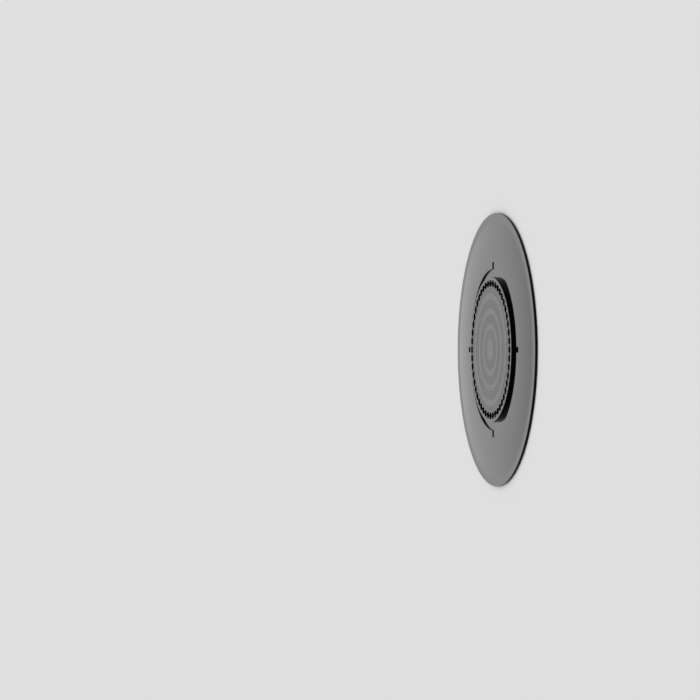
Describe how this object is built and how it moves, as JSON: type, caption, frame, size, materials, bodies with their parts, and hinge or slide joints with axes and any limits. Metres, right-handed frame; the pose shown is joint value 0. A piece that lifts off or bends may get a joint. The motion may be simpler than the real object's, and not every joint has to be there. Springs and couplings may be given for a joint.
{
  "type": "adhesive magnetic phone patch",
  "caption": "Thin round adhesive patch for a phone's back, with a domed skirt, an annular groove and a raised magnetic boss ringed by index pockets.",
  "frame": {"origin": "centre of the adhesive pad's outer face, which sticks to the phone", "axes": "+Z along the disc's axis, out of the face that the holder meets. +X and +Y run through two of the quarter notches"},
  "size_m": [0.062, 0.062, 0.0018],
  "materials": {
    "black_plastic": "near-black moulded plastic, satin, with a finer mould texture on the relief rings",
    "magnet_plating": "nickel-plated sintered magnet",
    "keeper_steel": "zinc-plated thin sheet",
    "adhesive_foam": "black acrylic foam pad, tacky on its outer face"
  },
  "bodies": {
    "root": {"cover_disc": "black_plastic", "magnet_disc": "magnet_plating", "keeper_plate": "keeper_steel", "adhesive_pad": "adhesive_foam"}
  },
  "joints": []
}
